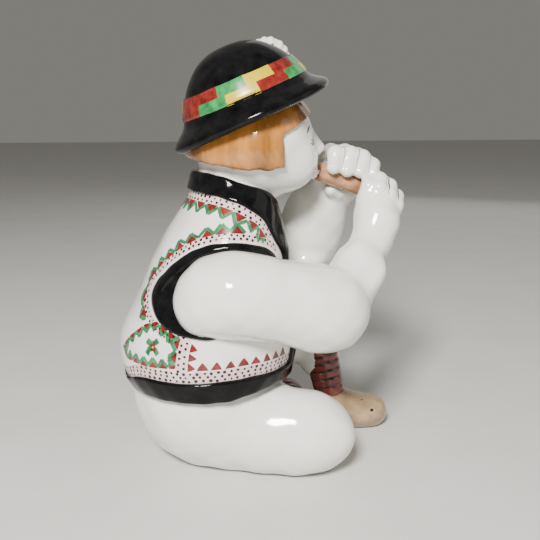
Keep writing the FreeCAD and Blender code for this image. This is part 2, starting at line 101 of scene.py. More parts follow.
def limb(P, start, r_start, end, r_end):
    """A rounded, tapering rod between two points."""
    a, b = np.array(start, float), np.array(end, float)
    ab = b - a
    x, y, z = P[0] - a[0], P[1] - a[1], P[2] - a[2]
    along = np.clip((x * ab[0] + y * ab[1] + z * ab[2]) / ab.dot(ab), 0, 1)
    gap = np.sqrt((x - along * ab[0]) ** 2 + (y - along * ab[1]) ** 2 + (z - along * ab[2]) ** 2)
    return gap - (r_start + (r_end - r_start) * along)


def chain(P, points, radii, k=0.8):
    """Limbs end to end, softly joined."""
    out = None
    for (p, q), (r, s) in zip(zip(points, points[1:]), zip(radii, radii[1:])):
        out = join(out, limb(P, p, r, q, s), k)
    return out


def join(a, b, k):
    """Union with a soft fillet about k mm wide."""
    if a is None:
        return b
    h = np.clip(0.5 + 0.5 * (b - a) / k, 0, 1)
    return b * (1 - h) + a * h - k * h * (1 - h)


def keep(a, b, k):
    """Intersection with a softened edge."""
    return -join(-a, -b, k)


def ripple(P, size, depth, seed=0.0):
    """The slow unevenness of a hand-finished, thickly glazed surface."""
    x, y, z = P
    w = 2 * math.pi / size
    return depth * (np.sin(w * (x + 0.6 * z) + seed) * np.sin(w * (0.9 * y - 0.3 * x) + 2 * seed)
                    + 0.6 * np.sin(w * 1.7 * (z - 0.4 * y) + 3 * seed) * np.sin(w * 1.5 * x + seed))


def smooth_table(keys, values):
    """Natural cubic spline through a short table, sampled finely for np.interp."""
    keys, values = np.array(keys, float), np.array(values, float)
    n, h = len(keys), np.diff(keys)
    A, r = np.eye(n), np.zeros(n)
    for i in range(1, n - 1):
        A[i, i - 1:i + 2] = h[i - 1], 2 * (h[i - 1] + h[i]), h[i]
        r[i] = 3 * ((values[i + 1] - values[i]) / h[i] - (values[i] - values[i - 1]) / h[i - 1])
    c = np.linalg.solve(A, r)
    fine = np.linspace(keys[0], keys[-1], 400)
    i = np.clip(np.searchsorted(keys, fine) - 1, 0, n - 2)
    t = fine - keys[i]
    b = (values[i + 1] - values[i]) / h[i] - h[i] * (2 * c[i] + c[i + 1]) / 3
    return fine, values[i] + b * t + c[i] * t ** 2 + (c[i + 1] - c[i]) / (3 * h[i]) * t ** 3


# height, back, front and half width of the torso
TORSO = [(22, -45, 3, 28), (27.5, -49, 5, 31), (32, -52, 6.2, 32.6), (37, -53.9, 7.2, 33.6),
         (42, -54.3, 8, 34), (48, -53.3, 8.2, 33.8), (53, -51, 8, 33), (58, -48.4, 7.5, 32.3),
         (64, -45.6, 7.1, 31.5),
         (70, -43, 6.2, 30.5), (76, -40.1, 5.2, 29), (82, -36.8, 4, 26.6), (88, -32.6, 3.0, 23.8),
         (94, -29, 1.8, 20.6), (99, -27.3, 0, 17.8), (106, -26.4, -3, 15.6)]
BACK, FRONT, HALF = (smooth_table([row[0] for row in TORSO], [row[i] for row in TORSO]) for i in (1, 2, 3))


def torso_section(z):
    """Middle, half depth and half width of the torso at a height."""
    back, front, half = (np.interp(z, *curve) for curve in (BACK, FRONT, HALF))
    return (back + front) / 2, (front - back) / 2, half


# edges of the vest's black borders, as (degrees round from the front, height)
NECK_TOP = smooth_table((0, 30, 38, 50, 69, 87, 111, 141, 180),
                        (85, 90.5, 93.6, 96.2, 97.9, 99.3, 101.2, 102.3, 102.6))
NECK_LOW = smooth_table((0, 40, 50, 61, 73, 87, 113, 137, 180),
                        (74, 77, 81.5, 87, 90, 92.3, 94.9, 95.9, 96.2))
HEM_TOP = smooth_table((0, 33, 50, 70, 90, 124, 144, 160, 180),
                       (37.4, 37.6, 37.9, 38.4, 38.1, 37.4, 36.8, 34, 32))
HEM_LOW = smooth_table((0, 33, 48, 63, 78, 91, 104, 138, 180),
                       (32, 32.3, 32.9, 32.7, 31.6, 30.7, 30.4, 30, 27.6))
OPENING, EDGE_OUT = 13.0, 18.6          # half widths of the vest's opening and of its black front edges
STEEP = 0.93                            # heights count this much across the leaning collar
ARMHOLE = (-22.0, 66.0)
# the armhole's outline: degrees about its middle from the front over the shoulder, then distance
ARMHOLE_OUT = smooth_table((-60, -30, 0, 20, 32, 47, 65, 84, 106, 127, 150, 172,
                            186, 194, 204, 213, 225, 250, 275, 300),
                           (13, 17, 20.6, 21.6, 21.4, 19.4, 17.1, 15.7, 15.1, 15.2, 16.2, 18.8,
                            21.2, 22.2, 22.3, 21.2, 18.6, 15, 13.2, 13))


def on_torso(turn, z, side):
    """The point of the torso that many degrees round from the front, on the side given."""
    centre, deep, wide = torso_section(z)
    return centre + deep * math.cos(math.radians(turn)), side * wide * math.sin(math.radians(turn)), z


def around(x, y, z):
    """Degrees round the torso from the front, the same on both sides."""
    centre, deep, wide = torso_section(z)
    return np.degrees(np.abs(np.arctan2(y / wide, (x - centre) / deep)))


def armhole_gap(x, z):
    """Distance outside the armhole's outline, seen from the side."""
    away = np.degrees(np.arctan2(z - ARMHOLE[1], x - ARMHOLE[0]))
    away = np.where(away < ARMHOLE_OUT[0][0], away + 360, away)
    return np.hypot(x - ARMHOLE[0], z - ARMHOLE[1]) - np.interp(away, *ARMHOLE_OUT)


def torso_round(P):
    """Distance to the torso's surface, before its top and hem are cut."""
    x, y, z = P
    centre, deep, wide = torso_section(z)
    qx, qy = (x - centre) / deep, y / wide
    near = np.sqrt(qx ** 2 + qy ** 2) + 1e-6
    steep = np.sqrt((qx / deep) ** 2 + (qy / wide) ** 2) + 1e-6
    return near * (near - 1) / steep


def vest(P, proud=0.0):
    x, y, z = P
    turn = around(x, y, z)
    top = (z - np.interp(turn, *NECK_TOP)) * STEEP
    low = np.interp(turn, *HEM_LOW) + 0.8 - z
    body = keep(keep(torso_round(P) - proud, top, 1.0), low, 1.0) + ripple(P, 21, 0.08, 5.0)
    return np.maximum(body, np.where(x > -13, OPENING - np.abs(y), -9))


def shirt_front(P):
    x, y, z = P
    pleats = 0.25 * np.cos(y * 2 * math.pi / 5.2)
    top = (z - np.interp(around(x, y, z), *NECK_TOP)) * STEEP
    body = keep(torso_round(P) + 0.9 - pleats, top + 1, 1.0)
    return np.maximum(np.maximum(body, np.abs(y) - OPENING - 0.8), np.maximum(-14 - x, 30 - z))


def seat(P):
    d = ellipsoid(P, (-24, 1.5, 24), (26.3, 32, 27))
    d = join(d, ellipsoid(P, (-8, -18.6, 14.5), (33, 14.6, 15.6), -28), 8)
    d = join(d, ellipsoid(P, (10.6, -22, 12.6), (13.2, 11.8, 12.6)), 8)
    d = join(d, ellipsoid(P, (11.5, -2, 8.2), (9.2, 22.4, 8.6), 12), 5)
    d = keep(d, -P[2], 1.6)
    return d + ripple(P, 19, 0.16, 1.0)


def leg_left(P):
    d = limb(P, (-8, 20, 24), 13.5, (17, 19, 41), 11)
    d = join(d, limb(P, (17, 18.5, 40), 10.4, (23, 14, 27), 8.2), 3)
    return d + ripple(P, 13, 0.14, 2.0)


def sleeve_right(P):
    d = ellipsoid(P, (-20, -27.5, 65.2), (15.5, 14.5, 13), 0, 14)
    d = join(d, ellipsoid(P, (-27.6, -26.4, 60.5), (8.3, 10, 8.2)), 7)
    d = join(d, ellipsoid(P, (-6, -30.6, 63.6), (22, 14, 13.2), 0, 11), 8)
    d = join(d, ellipsoid(P, (11.8, -30.4, 58.8), (15, 13.6, 14.0)), 9)
    forearm = chain(P, [(20, -26, 64), (26, -21.5, 71), (32.8, -14.8, 78), (36.2, -12, 84)],
                    [9.8, 8.0, 6.9, 7.5], 2)
    roll = ellipsoid(P, (25.4, -23.5, 67.6), (10.6, 9.8, 6.6), 20, -38)
    d = join(join(d, roll, 2.2), forearm, 1.6)
    return d + ripple(P, 17, 0.16, 3.0)


def sleeve_left(P):
    d = ellipsoid(P, (-18, 25.5, 67), (15.5, 15, 15))
    d = join(d, ellipsoid(P, (-5, 28.6, 67), (22, 13.6, 14.4)), 8)
    d = join(d, ellipsoid(P, (14.5, 24.5, 66), (15, 13.6, 13.6)), 8)
    d = join(d, ellipsoid(P, (20, 17.5, 79), (12.2, 12, 17), 0, 8), 5)
    d = join(d, ellipsoid(P, (17, 14, 67.4), (8.4, 8, 5.2), 0, -10), 2)
    d = join(d, limb(P, (23, 14.5, 88), 10, (27, 12, 96), 7), 5)
    return d + ripple(P, 15, 0.15, 4.0)


def head(P):
    d = ellipsoid(P, (-5, 0, 112), (20, 21.2, 20))
    d = join(d, ellipsoid(P, (2.4, 0, 106.4), (13.8, 15, 10.8), 0, -14), 4.5)
    for side in (-1, 1):
        d = join(d, ellipsoid(P, (6.0, 8.2 * side, 105.4), (7.8, 7.8, 8.2)), 4)
    d = join(d, ellipsoid(P, (14.6, 0, 101.8), (3.5, 4.2, 2.9)), 2.4)
    d = join(d, limb(P, (14.0, 0, 115.4), 1.5, (17.6, 0, 110.2), 2.2), 2.2)
    for side in (-1, 1):
        d = join(d, ellipsoid(P, (16.4, 1.7 * side, 108.9), (1.6, 1.3, 1.3)), 1.0)
        d = keep(d, -ellipsoid(P, (16.0, 7.2 * side, 113.2), (2.4, 4.2, 2.6)), 3.0)
    d = join(d, limb(P, (-13, 0, 86), 12, (-12, 0, 104), 12.4), 5)
    return d


HAT_BASE, HAT_LEAN = (-6, 0, 121), -23.0
FRINGE_DROP, HAIR_FRONT, HAIR_BOTTOM = 8.0, 0.2, 103.7


def rim_height(P):
    """Height above the plane of the hat's rim."""
    return turned(P, HAT_BASE, 0, HAT_LEAN)[2]


def hair(P):
    x, y, z = P
    d = ellipsoid(P, (-6.4, 0, 111), (23.7, 23.3, 22))
    lower = HAIR_BOTTOM + 0.0085 * (x + 8) ** 2 + 0.25 * np.sin(0.8 * x + 0.5 * y)
    d = keep(d, lower - z, 1.4)
    face = np.maximum(HAIR_FRONT - 0.10 * (z - 110) - x, rim_height(P) + FRINGE_DROP - 0.12 * x)
    d = keep(d, -face, 0.9)
    strand = np.arctan2(y, x + 6) * 22 + 0.22 * (z - 100) + 1.5 * np.sin(z * 0.3)
    return d + 0.09 * np.sin(strand) + 0.05 * np.sin(2.3 * strand + z * 0.5)


PIPE_SLOPE = math.radians(18.4)
MOUTH = np.array((18.6, 0, 101.6))
ALONG = np.array((math.cos(PIPE_SLOPE), 0, -math.sin(PIPE_SLOPE)))
ABOVE = np.array((math.sin(PIPE_SLOPE), 0, math.cos(PIPE_SLOPE)))


def by_pipe(P):
    """Coordinates in the pipe's frame: along it from the mouth, to the left, and above it."""
    x, z = P[0] - MOUTH[0], P[2] - MOUTH[2]
    return x * ALONG[0] + z * ALONG[2], P[1] - MOUTH[1], x * ABOVE[0] + z * ABOVE[2]


# left: station along the pipe, knuckle height, fingertip height, radius; right: without the tip
LEFT_FINGERS = [(2.3, 8.0, 2.6, 2.75), (7.5, 9.5, 3.2, 2.75), (12.4, 9.8, 4.2, 2.65),
                (17.0, 8.4, 5.4, 2.45)]
RIGHT_FINGERS = [(19.2, 3.9, 2.7), (23.3, 2.9, 2.7), (27.2, 0.2, 2.6)]


def hand_left(P):
    Q = by_pipe(P)
    d = ellipsoid(Q, (10, 8.2, 0.4), (10.6, 4.4, 8.0))
    d = join(d, limb(Q, (10.2, 9.4, -2), 6.4, (9.6, 11.8, -7.4), 6.6), 4)
    d = join(d, chain(Q, [(14, 7.5, -4.4), (10, 4.6, -5.2), (6.4, 2.4, -5.0)], [3, 2.6, 2.2]), 1.5)
    for station, top, tip, r in LEFT_FINGERS:
        finger = chain(Q, [(station * 0.92 + 0.8, 8.6, top - 4.6), (station, 4.0, top),
                           (station, -2.2, top - 0.4), (station + 0.1, -5.0, tip)],
                       [r, r, r * 0.97, r * 0.86], 1.6)
        d = join(d, finger, 2.4)
    return d


def hand_right(P):
    Q = by_pipe(P)
    d = ellipsoid(Q, (22.0, -8.0, -4.2), (8.6, 5.4, 7.6), 0, 14)
    d = join(d, limb(Q, (21.0, -9.4, -6.6), 6.6, (20.8, -10.4, -8.6), 7.0), 3)
    d = join(d, chain(Q, [(17.0, -8.6, -4.4), (15.8, -8.6, 0.2), (15.6, -6.9, 2.0)], [3.4, 2.7, 2.4]), 1.4)
    for station, top, r in RIGHT_FINGERS:
        finger = chain(Q, [(station - 0.9, -10.4, top - 7.4), (station - 0.2, -10.2, top - 3.2),
                           (station, -7.6, top - 0.4), (station, -3.0, top), (station, 3.2, top),
                           (station - 0.2, 6.4, top - 4.4)], [r * 0.9, r, r, r, r * 0.96, r * 0.86], 1.6)
        d = join(d, finger, 1.0)
    return d


def shoe_left(P):
    d = limb(P, (26, 9.5, 11), 6.6, (30, 8.5, 8), 6.8)
    d = join(d, ellipsoid(P, (37, 6.8, 6.4), (11.2, 7.4, 7), -6, 8), 4)
    d = join(d, ellipsoid(P, (43, 6.2, 5.9), (5.4, 5.4, 5.6)), 3)
    return keep(d, -P[2], 1.2)


def shoe_right(P):
    d = limb(P, (11, 28, 7.6), 7, (4, 36.5, 6.6), 6.6)
    d = join(d, ellipsoid(P, (-1, 40, 6.2), (6, 5.6, 6)), 3)
    return keep(d, -P[2], 1.2)


def wrap_left(P):
    d = limb(P, (22.6, 12.4, 32), 6.7, (26.2, 9.6, 15), 5.9)
    along = (32 - P[2]) / 3.4
    return d - 0.13 * np.abs(np.sin(along * math.pi))


def wrap_right(P):
    d = limb(P, (13.4, 17, 6.6), 6.8, (12, 25, 7.2), 7.2)
    return keep(d - 0.2 * np.sin((P[1] - 15) * 2 * math.pi / 3.4), -P[2], 1.2)


def plume(P):
    x, y, z = turned(P, (2.0, 12.5, 140.0), 8, 20)
    d = ellipsoid((x, y, z), (0, 0, 0), (8.6, 3.4, 8.8))
    return d - 0.2 * np.sin(2.0 * np.abs(x) - 1.0 * z + 0.8 * y)


WHITE_FORMS = {"seat": seat, "leg_left": leg_left, "vest": vest, "head": head,
               "sleeve_right": sleeve_right, "sleeve_left": sleeve_left, "hand_left": hand_left,
               "hand_right": hand_right}
# how softly each white part runs into the parts beside it, in mm
FILLETS = {
    "seat": {"leg_left": 2.5, "vest": 0.8},
    "leg_left": {"seat": 2.5, "vest": 0.8, "sleeve_left": 1.2},
    "vest": {"sleeve_right": 0.6, "sleeve_left": 0.6, "seat": 0.8},
    "head": {"vest": 0.8, "hand_left": 0.6},
    "sleeve_right": {"hand_right": 4.0, "vest": 0.6},
    "sleeve_left": {"hand_left": 3.0, "vest": 0.6, "leg_left": 1.2},
    "hand_left": {"sleeve_left": 3.0, "hand_right": 0.6, "head": 0.6},
    "hand_right": {"sleeve_right": 4.0, "hand_left": 0.6},
}
SEAM_LAP = 0.25          # how far neighbouring parts of the casting run into each other, in mm


def part_of_casting(name):
    """The share of the one white casting that belongs to this part."""
    def field(P):
        own = WHITE_FORMS[name](P)
        body, limits = own, []
        for other, k in FILLETS[name].items():
            beside = WHITE_FORMS[other](P)
            body = join(body, beside, k)
            limits.append((own - beside) * 0.5 - SEAM_LAP)
        for limit in limits:
            body = np.maximum(body, limit)
        return body
    return field


FAR = 4.0                # distances beyond this many mm are clipped before meshing


def carve(name, field, low, high, voxel):
    """Mesh the zero surface of a distance field inside a box."""
    axes = [np.arange(a, b + voxel, voxel, dtype=np.float64) for a, b in zip(low, high)]
    P = np.meshgrid(*axes, indexing="ij", sparse=True)
    distance = np.broadcast_to(field(P), [len(a) for a in axes]).astype(np.float32)
    grid = openvdb.FloatGrid(FAR)
    grid.copyFromArray(np.ascontiguousarray(np.clip(distance, -FAR, FAR)))
    grid.transform = openvdb.createLinearTransform(voxelSize=voxel)
    points, triangles, quads = grid.convertToPolygons(isovalue=0.0)
    points = points * UNIT + np.array(low) * UNIT + np.array(SHIFT)
    faces = quads.tolist() + triangles.tolist()
    mesh = bpy.data.meshes.new(name)
    mesh.from_pydata(points.tolist(), [], faces)
    mesh.update()
    return shown(name, mesh)


def shown(name, mesh):
    """A smooth-shaded object of this mesh, linked into the scene."""
    mesh.polygons.foreach_set("use_smooth", [True] * len(mesh.polygons))
    obj = bpy.data.objects.new(name, mesh)
    bpy.context.scene.collection.objects.link(obj)
    return obj


def curve_through(points, steps=8):
    """Catmull-Rom through 2D or 3D points."""
    pts = [np.array(p, float) for p in points]
    pts = [2 * pts[0] - pts[1]] + pts + [2 * pts[-1] - pts[-2]]
    out = []
    for a, b, c, d in zip(pts, pts[1:], pts[2:], pts[3:]):
        for i in range(steps):
            t = i / steps
            out.append(0.5 * (2 * b + (c - a) * t + (2 * a - 5 * b + 4 * c - d) * t ** 2
                              + (3 * b - a - 3 * c + d) * t ** 3))
    out.append(pts[-2])
    return out


def lathe(name, profile, base, axis, segments=128, wobble=0.0):
    """Spin a profile of (radius, height) points about an axis, a little out of round by wobble."""
    axis = Vector(axis).normalized()
    side = axis.orthogonal().normalized()
    other = axis.cross(side)
    bm = bmesh.new()
    rings = []
    for radius, height in profile:
        if radius < 1e-4:
            rings.append([bm.verts.new(place(Vector(base) + axis * height))])
            continue
        ring = []
        for i in range(segments):
            a = 2 * math.pi * i / segments
            r = radius + wobble * (math.sin(2 * a + 0.7) + 0.6 * math.sin(3 * a + 2.1)) * radius / 28
            lift = wobble * 0.8 * math.sin(2 * a + 1.9) * radius / 28
            ring.append(bm.verts.new(place(Vector(base) + (side * math.cos(a) + other * math.sin(a)) * r
                                           + axis * (height + lift))))
        rings.append(ring)
    for lower, upper in zip(rings, rings[1:]):
        for i in range(segments):
            j = (i + 1) % segments
            if len(lower) == 1:
                bm.faces.new((lower[0], upper[j], upper[i]))
            elif len(upper) == 1:
                bm.faces.new((lower[i], lower[j], upper[0]))
            else:
                bm.faces.new((lower[i], lower[j], upper[j], upper[i]))
    bmesh.ops.recalc_face_normals(bm, faces=bm.faces)
    mesh = bpy.data.meshes.new(name)
    bm.to_mesh(mesh)
    bm.free()
    return shown(name, mesh)


# -------------------------------------------------------------- materials
def material(name, colour, roughness=0.16, coat=0.5, drift=0.12, size=9.0, ior=1.5,
             streak=(1, 1, 1), lump=0.0):
    """Fired colour that drifts a little lighter and darker over the surface, size in mm."""
    mat = bpy.data.materials.new(name)
    mat.use_nodes = True
    nodes, links = mat.node_tree.nodes, mat.node_tree.links
    shader = nodes["Principled BSDF"]
    shader.inputs["Roughness"].default_value = roughness
    shader.inputs["Coat Weight"].default_value = coat
    shader.inputs["Coat Roughness"].default_value = 0.04
    shader.inputs["IOR"].default_value = ior
    where = nodes.new("ShaderNodeTexCoord")
    stretch = nodes.new("ShaderNodeMapping")
    stretch.inputs["Scale"].default_value = streak
    cloud = nodes.new("ShaderNodeTexNoise")
    cloud.inputs["Scale"].default_value = 1000 / size
    cloud.inputs["Detail"].default_value = 5
    cloud.inputs["Roughness"].default_value = 0.55
    ramp = nodes.new("ShaderNodeValToRGB")
    low, high = ramp.color_ramp.elements
    low.position, high.position = 0.30, 0.70
    low.color = (*[c * (1 - drift) for c in colour], 1)
    high.color = (*[min(1, c * (1 + drift) + 0.004) for c in colour], 1)
    links.new(where.outputs["Object"], stretch.inputs["Vector"])
    links.new(stretch.outputs["Vector"], cloud.inputs["Vector"])
    links.new(cloud.outputs["Fac"], ramp.inputs["Fac"])
    links.new(ramp.outputs["Color"], shader.inputs["Base Color"])
    if lump:
        bump = nodes.new("ShaderNodeBump")
        bump.inputs["Strength"].default_value = lump
        bump.inputs["Distance"].default_value = 0.0002
        links.new(cloud.outputs["Fac"], bump.inputs["Height"])
        links.new(bump.outputs["Normal"], shader.inputs["Normal"])
    return mat


WHITE = material("white_glaze", (0.77, 0.765, 0.725), 0.13, 0.5, 0.035, 12, lump=0.12)
BLACK = material("black_glaze", (0.002, 0.002, 0.0025), 0.1, 0.0, 0.5, 5, 1.27, lump=0.15)
HAIR = material("hair_enamel", (0.31, 0.125, 0.022), 0.16, 0.4, 0.6, 6, streak=(0.8, 1.0, 0.16), lump=0.2)
TAN = material("shoe_enamel", (0.34, 0.23, 0.13), 0.2, 0.4, 0.35, 6, lump=0.1)
RED = material("wrap_enamel", (0.17, 0.014, 0.007), 0.2, 0.4, 0.5, 3, lump=0.1)
PIPE = material("pipe_enamel", (0.40, 0.20, 0.10), 0.2, 0.4, 0.4, 3.5, lump=0.1)


def finish_piece(obj, mat, slot, *nodes):
    """Give a piece its glaze, hang it on the root body and hide the frame's nodes it stands for; the slot
    is not used.
    """
    obj.data.materials.append(mat)
    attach(obj, "root")
    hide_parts(*nodes)
    return obj


# ----------------------------------------------------------------- pieces
FINE, MEDIUM = ((0.3, 0.55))
WHITE_PARTS = {
    "seat": ("seat_shell", (-58, -44, -1), (32, 38, 48), MEDIUM),
    "leg_left": ("left_trouser_leg", (-24, 4, 8), (36, 36, 56), MEDIUM),
    "vest": ("vest", (-58, -37, 24), (12, 37, 103), MEDIUM),
    "sleeve_right": ("right_sleeve", (-40, -48, 44), (48, -2, 96), MEDIUM),
    "sleeve_left": ("left_sleeve", (-38, 2, 48), (38, 46, 104), MEDIUM),
    "head": ("head", (-30, -25, 82), (24, 25, 135), 0.5),
    "hand_left": ("left_hand", (12, -10, 82), (46, 22, 116), FINE),
    "hand_right": ("right_hand", (26, -22, 76), (56, 14, 110), FINE),
}
pieces = {}
for part, (node, low, high, voxel) in WHITE_PARTS.items():
    obj = carve(node + "_glazed", part_of_casting(part), low, high, voxel)
    pieces[node] = finish_piece(obj, WHITE, "white_glaze", node)

shirt = carve("shirt_front_glazed", shirt_front, (-16, -15, 28), (12, 15, 102), MEDIUM)
pieces["shirt_front"] = finish_piece(shirt, WHITE, "white_glaze", "shirt_front")
hair_cap = carve("hair_glazed", hair, (-32, -27, 100), (22, 27, 136), MEDIUM)
pieces["hair"] = finish_piece(hair_cap, HAIR, "hair_enamel", "hair")
for node, field, low, high, mat, slot in (
        ("left_shoe", shoe_left, (14, -4, -1), (54, 20, 22), TAN, "shoe_enamel"),
        ("right_shoe", shoe_right, (-10, 16, -1), (22, 50, 18), TAN, "shoe_enamel"),
        ("left_leg_wrap", wrap_left, (12, 0, 6), (36, 24, 42), RED, "wrap_enamel"),
        ("right_leg_wrap", wrap_right, (2, 4, -1), (26, 36, 22), RED, "wrap_enamel"),
        ("hat_plume", plume, (-10, 7, 127), (14, 19, 152), WHITE, "white_glaze")):
    pieces[node] = finish_piece(carve(node + "_glazed", field, low, high, FINE), mat, slot, node)

lean = math.radians(HAT_LEAN)
HAT_AXIS = (math.sin(lean), 0, math.cos(lean))
HAT_PROFILE = curve_through([(0, 0.2), (14, 0.2), (25.4, 0), (27.5, 0.1), (28.6, 1.3),
                             (28.0, 2.7), (26.0, 4.0), (24.0, 5.4), (22.8, 7.2), (21.5, 10),
                             (20.0, 13), (17.8, 16.4), (14.8, 19.6), (11.2, 22.4), (6.6, 24.3),
                             (2.4, 24.9), (0, 25)], 5)
hat = lathe("hat_glazed", HAT_PROFILE, HAT_BASE, HAT_AXIS, wobble=0.25)
# the brim droops at the nape
NAPE_DROOP, BRIM_REACH, BRIM_TOP = 2.4, 26, 7
for vertex in hat.data.vertices:
    spot = (vertex.co - SHIFT) / UNIT
    behind = max(0.0, -(spot.x - HAT_BASE[0]) / BRIM_REACH)
    brim = min(1.0, max(0.0, 1 - rim_height(spot) / BRIM_TOP))
    vertex.co.z -= NAPE_DROOP * behind ** 2 * brim * UNIT
pieces["hat"] = finish_piece(hat, BLACK, "black_glaze", "hat")
BAND_FACE = [(22.9, 7.3), (22.7, 8.6), (21.8, 10.6), (20.7, 12.9), (20.0, 14.1)]
BAND_PROFILE = curve_through([(22.2, 7.2), *BAND_FACE, (19.1, 14.2)], 4)
band = lathe("hat_band_glazed", BAND_PROFILE, HAT_BASE, HAT_AXIS, wobble=0.25)
pieces["hat_band"] = finish_piece(band, BLACK, "band_enamel", "hat_band")
PIPE_PROFILE = curve_through([(0, -1), (2.9, -1), (3.3, -0.4), (3.5, 2), (3.6, 12), (3.7, 24),
                              (3.6, 27.4), (3.2, 28), (0, 28)], 4)
pipe = lathe("pipe_glazed", PIPE_PROFILE, MOUTH, ALONG, 48)
pieces["pipe"] = finish_piece(pipe, PIPE, "pipe_enamel", "pipe")

# raised black borders of the vest
TRIM_RELIEF, TRIM_DEPTH = 1.3, 1.6


def trim_skin(P, proud=TRIM_RELIEF):
    """A skin over the torso, proud of it and let into it."""
    skin = torso_round(P)
    return keep(skin - proud, -TRIM_DEPTH - skin, 0.6)


def front_open(turn, y):
    """Cuts the vest's front opening, and leaves the back whole."""
    return np.where(turn < 90, OPENING - np.abs(y), -9)


def neck_trim(P):
    x, y, z = P
    turn = around(x, y, z)
    low, top = np.interp(turn, *NECK_LOW), np.interp(turn, *NECK_TOP)
    ring = np.maximum((low - z) * STEEP, (z - top) * STEEP - 0.3)
    ring = np.maximum(ring, front_open(turn, y))
    edge = np.maximum(np.abs(np.abs(y) - (OPENING + EDGE_OUT) / 2) - (EDGE_OUT - OPENING) / 2, -12 - x)
    edge = np.maximum(edge, np.maximum(np.interp(turn, *HEM_TOP) - 1 - z, z - low - 1))
    return keep(trim_skin(P), join(ring, edge, 1.5), 0.9) + ripple(P, 11, 0.09, 1.0)


def hem_trim(P):
    x, y, z = P
    turn = around(x, y, z)
    band = np.maximum(z - np.interp(turn, *HEM_TOP), np.interp(turn, *HEM_LOW) - 0.3 - z)
    band = np.maximum(band, front_open(turn, y))
    return keep(trim_skin(P), band, 0.9) + ripple(P, 12, 0.10, 2.0)


def armhole_trim(side):
    """A broad black border with a raised outer rim, sloping in to the sleeve."""
    def field(P):
        x, y, z = P
        gap = armhole_gap(x, z) * 0.9
        proud = 0.5 + 1.0 * np.exp(-((gap + 1.1) / 1.2) ** 2)
        return np.maximum(keep(trim_skin(P, proud), gap, 0.8), 4 - side * y) + ripple(P, 13, 0.10, 3.0)
    return field


for node, field, low, high in (
        ("neck_trim", neck_trim, (-32, -24, 30), (13, 24, 106)),
        ("hem_trim", hem_trim, (-58, -38, 22), (13, 38, 42)),
        ("armhole_trim_right", armhole_trim(-1), (-48, -38, 48), (4, -3, 86)),
        ("armhole_trim_left", armhole_trim(1), (-48, 3, 48), (4, 38, 86))):
    trim = carve(node + "_glazed", field, low, high, MEDIUM * 0.9)
    pieces[node] = finish_piece(trim, BLACK, "black_glaze", node)


# --------------------------------------------------------- painted decoration
class Paint:
    """Thin enamel shapes of one colour, gathered into one mesh."""

    def __init__(self, name, mat, slot):
        self.name, self.mat, self.slot = name, mat, slot
        self.points, self.faces = [], []

    def patch(self, rows):
        """A grid of layout points, row by row."""
        start, width = len(self.points), len(rows[0])
        for row in rows:
            self.points += [tuple(place(p)) for p in row]
        for i in range(len(rows) - 1):
            for j in range(width - 1):
                a = start + i * width + j
                self.faces.append((a, a + 1, a + width + 1, a + width))

    def fan(self, middle, ring):
        """A filled ring of layout points about a middle one."""
        start = len(self.points)
        self.points += [tuple(place(p)) for p in [middle] + ring]
        for i in range(len(ring)):
            self.faces.append((start, start + 1 + i, start + 1 + (i + 1) % len(ring)))

    def build(self):
        mesh = bpy.data.meshes.new(self.name)
        mesh.from_pydata(self.points, [], self.faces)
        mesh.update()
        return finish_piece(shown(self.name, mesh), self.mat, self.slot)


class Skin:
    """Lays layout points on the surface of finished pieces, lifted off it a little."""

    def __init__(self, *objs):
        points, faces = [], []
        for obj in objs:
            start = len(points)
            points += [v.co for v in obj.data.vertices]
            faces += [[start + i for i in face.vertices] for face in obj.data.polygons]
        self.tree = BVHTree.FromPolygons(points, faces)

    def __call__(self, p, lift=0.09):
        spot, normal, _, _ = self.tree.find_nearest(place(p))
        return (spot + normal * (lift * UNIT) - SHIFT) / UNIT


on_vest = Skin(pieces["vest"])


class Guide:
    """A curve on the vest with arc length, and the way across it that leads off the border."""

    def __init__(self, points, outward, surface=on_vest):
        self.surface = surface
        self.points = [Vector(surface(p, 0)) for p in points]
        self.lengths = [0.0]
        for p, q in zip(self.points, self.points[1:]):
            self.lengths.append(self.lengths[-1] + (q - p).length)
        self.total = self.lengths[-1]
        self.outward = outward

    def at(self, u, v, lift=0.09):
        """The surface point u mm along the curve and v mm off it, lifted a little."""
        u = min(max(u, 0.0), self.total - 1e-6)
        i = max(j for j, length in enumerate(self.lengths[:-1]) if length <= u)
        t = (u - self.lengths[i]) / (self.lengths[i + 1] - self.lengths[i])
        before = self.points[max(i - 1, 0)]
        after = self.points[min(i + 2, len(self.points) - 1)]
        p = self.points[i].lerp(self.points[i + 1], t)
        along = (after - before).normalized()
        out = self.surface(p, 1.0) - self.surface(p, 0)
        across = along.cross(out).normalized()
        if across.dot(Vector(self.outward(p))) < 0:
            across = -across
        return self.surface(p + across * v, lift)


def stripe(paint, guide, v0, v1, u0=0.0, u1=None, wobble=0.15, lift=0.05, step=0.8):
    """A painted band between two distances from the guide."""
    u1 = guide.total if u1 is None else u1
    count = max(2, int((u1 - u0) / step))
    phase = rng.uniform(0, 6)
    rows = []
    for i in range(count + 1):
        u = u0 + (u1 - u0) * i / count
        shake = wobble * math.sin(u * 1.3 + phase)
        rows.append([guide.at(u, v0 + (v1 + shake - v0) * j / 4, lift) for j in range(5)])
    paint.patch(rows)


